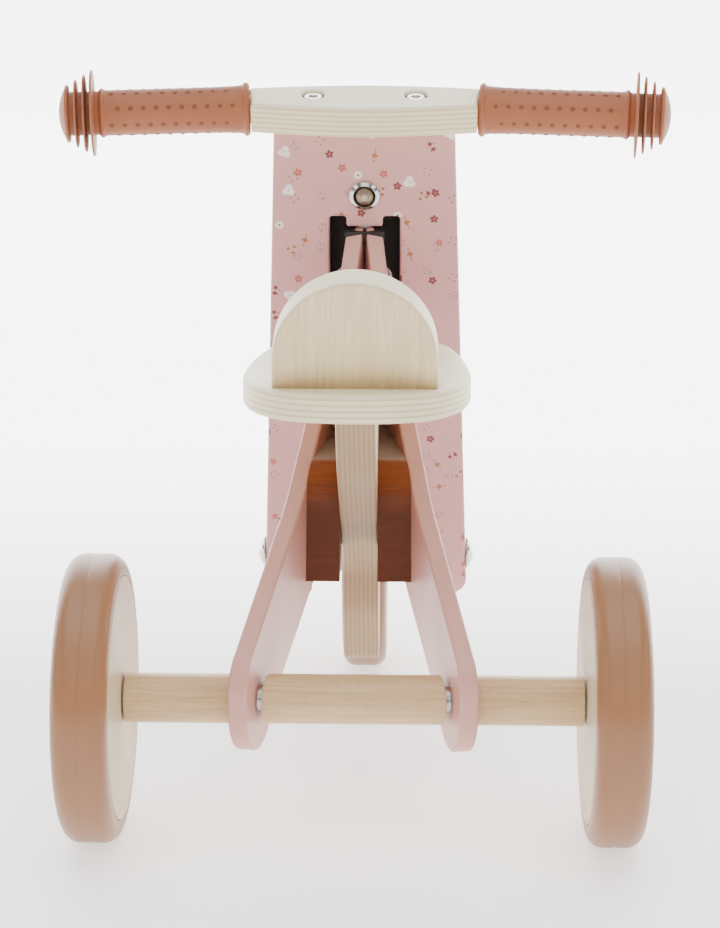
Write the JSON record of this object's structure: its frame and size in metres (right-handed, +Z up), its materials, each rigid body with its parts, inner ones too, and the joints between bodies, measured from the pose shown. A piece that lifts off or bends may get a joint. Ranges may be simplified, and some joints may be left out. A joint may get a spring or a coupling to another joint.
{
  "type": "children's tricycle",
  "caption": "Low wooden ride-on tricycle: leaning flower-print fork board, V-shaped frame arms, seat with a round backrest, and soft grips with guard discs.",
  "frame": {"origin": "on the floor, midway between the axles and between the rear wheels", "axes": "+Y forwards, +X to the rider's right, +Z up"},
  "size_m": [0.3622, 0.475, 0.3919],
  "materials": {
    "tyre": "satin moulded",
    "wheel_wood": "cream satin paint",
    "bush": "matte nylon",
    "pink_print": "satin pink with a small flower print",
    "pink_paint": "satin pink paint",
    "cream_paint": "satin cream paint, bare plywood edges",
    "birch": "clear lacquered plywood",
    "veneer": "clear lacquered birch veneer",
    "brown_stain": "stained and lacquered beech",
    "dowel": "clear lacquered beech dowel",
    "silicone": "soft matte silicone",
    "black_plastic": "matte black nylon",
    "chrome": "polished",
    "steel": "zinc plated"
  },
  "bodies": {
    "frame": {"arm_left": "pink_paint", "arm_right": "pink_paint", "wedge_left": "brown_stain", "wedge_right": "brown_stain", "head_block": "black_plastic", "pivot_washers": "bush", "head_bolt": "chrome", "wedge_bolts": "chrome", "seat_support": "birch", "seat": "cream_paint", "seat_screws": "steel", "backrest": "veneer", "backrest_screws": "steel", "rear_axle_rod": "steel", "rear_sleeve_middle": "dowel", "rear_sleeve_left": "dowel", "rear_sleeve_right": "dowel", "rear_arm_nuts": "steel", "rear_axle_caps": "chrome"},
    "fork": {"fork_board": "pink_print", "head_housing": "black_plastic", "housing_screws": "steel", "pivot_rod": "steel", "pivot_lock_bolt": "chrome", "handlebar": "cream_paint", "handlebar_bolts": "chrome", "barrel_nuts": "steel", "grip_left": "silicone", "grip_right": "silicone", "front_axle_rod": "steel", "front_axle_caps": "chrome", "front_spacer_left": "dowel", "front_spacer_right": "dowel"},
    "front_wheel": {"front_wheel_tyre": "tyre", "front_wheel_disc": "wheel_wood", "front_wheel_bush": "bush"},
    "rear_left_wheel": {"rear_left_wheel_tyre": "tyre", "rear_left_wheel_disc": "wheel_wood", "rear_left_wheel_bush": "bush"},
    "rear_right_wheel": {"rear_right_wheel_tyre": "tyre", "rear_right_wheel_disc": "wheel_wood", "rear_right_wheel_bush": "bush"}
  },
  "joints": [
    {"name": "steering", "type": "hinge", "parent": "frame", "child": "fork", "pos_m": [0, 0.1625, 0.075], "axis": [0, -0.309, 0.9511], "range_deg": [-25, 25]},
    {"name": "front_wheel_spin", "type": "hinge", "parent": "fork", "child": "front_wheel", "pos_m": [0, 0.1625, 0.075], "axis": [1, 0, 0], "continuous": true},
    {"name": "rear_left_spin", "type": "hinge", "parent": "frame", "child": "rear_left_wheel", "pos_m": [-0.1355, -0.1625, 0.075], "axis": [1, 0, 0], "continuous": true},
    {"name": "rear_right_spin", "type": "hinge", "parent": "frame", "child": "rear_right_wheel", "pos_m": [0.1355, -0.1625, 0.075], "axis": [1, 0, 0], "continuous": true}
  ]
}
